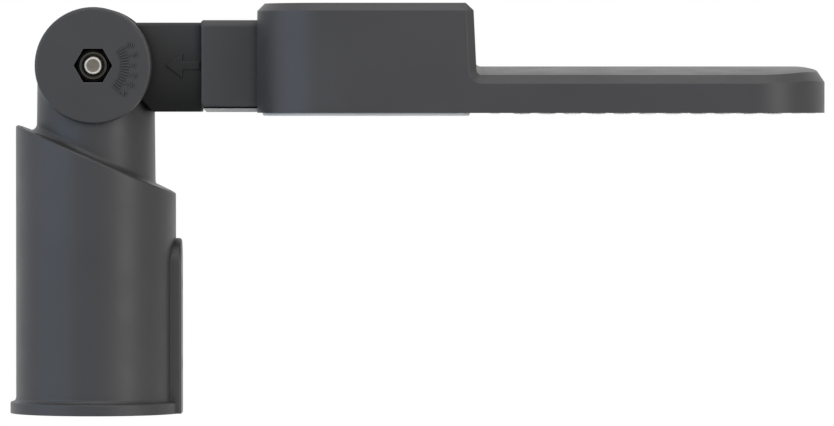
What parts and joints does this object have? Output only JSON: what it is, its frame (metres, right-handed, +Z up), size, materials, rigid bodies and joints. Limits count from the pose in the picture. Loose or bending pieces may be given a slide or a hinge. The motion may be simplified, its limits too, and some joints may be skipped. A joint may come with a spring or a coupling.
{
  "type": "street light",
  "caption": "LED street light with a flat head on a tilting adaptor that slips over the top of a pole and is held by set screws.",
  "frame": {"origin": "centre of the pole socket's mouth, at the bottom of the adaptor", "axes": "+Z up along the pole, +X out along the lamp head at rest, +Y to the left of someone who looks out along the head"},
  "size_m": [0.4255, 0.15, 0.2144],
  "materials": {
    "cast_graphite": "fine satin powder coat, graphite grey, over die-cast aluminium",
    "cast_black": "fine matt powder coat, black grey, over die-cast aluminium",
    "black_steel": "black oxide steel",
    "zinc_steel": "bright zinc-plated steel",
    "grey_nylon": "matt grey nylon",
    "black_nylon": "matt black nylon",
    "white_nylon": "white moulded case",
    "pale_strip": "light grey powder coat over cast aluminium",
    "silicone": "grey silicone rubber",
    "clear_acrylic": "clear moulded optics",
    "white_board": "white solder mask",
    "yellow_phosphor": "yellow phosphor under clear silicone",
    "bare_aluminium": "mill finish sheet",
    "brass": "plain brass"
  },
  "bodies": {
    "adaptor": {"pole_adaptor": "cast_graphite", "knuckle_bolt": "zinc_steel", "knuckle_washer": "zinc_steel", "knuckle_nut": "black_steel", "nut_locking_ring": "grey_nylon"},
    "pole_screw_upper": {"pole_screw_upper": "black_steel"},
    "pole_screw_lower": {"pole_screw_lower": "black_steel"},
    "head": {"tilt_arm": "cast_black", "housing": "cast_graphite", "spigot_screws": "zinc_steel", "collar_cover": "pale_strip", "collar_cover_screws": "zinc_steel", "gear_cover": "pale_strip", "gear_cover_seal": "silicone", "gear_cover_screws": "zinc_steel", "breather_plug": "black_nylon", "lens_plate": "clear_acrylic", "lens_seal": "silicone", "lens_screws": "zinc_steel", "led_board": "white_board", "led_packages": "yellow_phosphor", "gear_tray": "bare_aluminium", "tray_screws": "zinc_steel", "driver": "white_nylon", "driver_screws": "zinc_steel", "terminal_block": "grey_nylon", "surge_protector": "black_nylon", "cable_clamp": "black_nylon", "cable_clamp_screws": "zinc_steel", "earth_screw": "brass", "cable_gland": "black_nylon", "lead_grommet": "silicone"}
  },
  "joints": [
    {"name": "head_tilt", "type": "hinge", "parent": "adaptor", "child": "head", "pos_m": [0, 0, 0.1822], "axis": [0, -1, 0], "range_deg": [0, 90]},
    {"name": "upper_screw_in", "type": "slide", "parent": "adaptor", "child": "pole_screw_upper", "axis": [-1, 0, 0], "range_m": [0, 0.003]},
    {"name": "lower_screw_in", "type": "slide", "parent": "adaptor", "child": "pole_screw_lower", "axis": [-1, 0, 0], "range_m": [0, 0.003]}
  ]
}
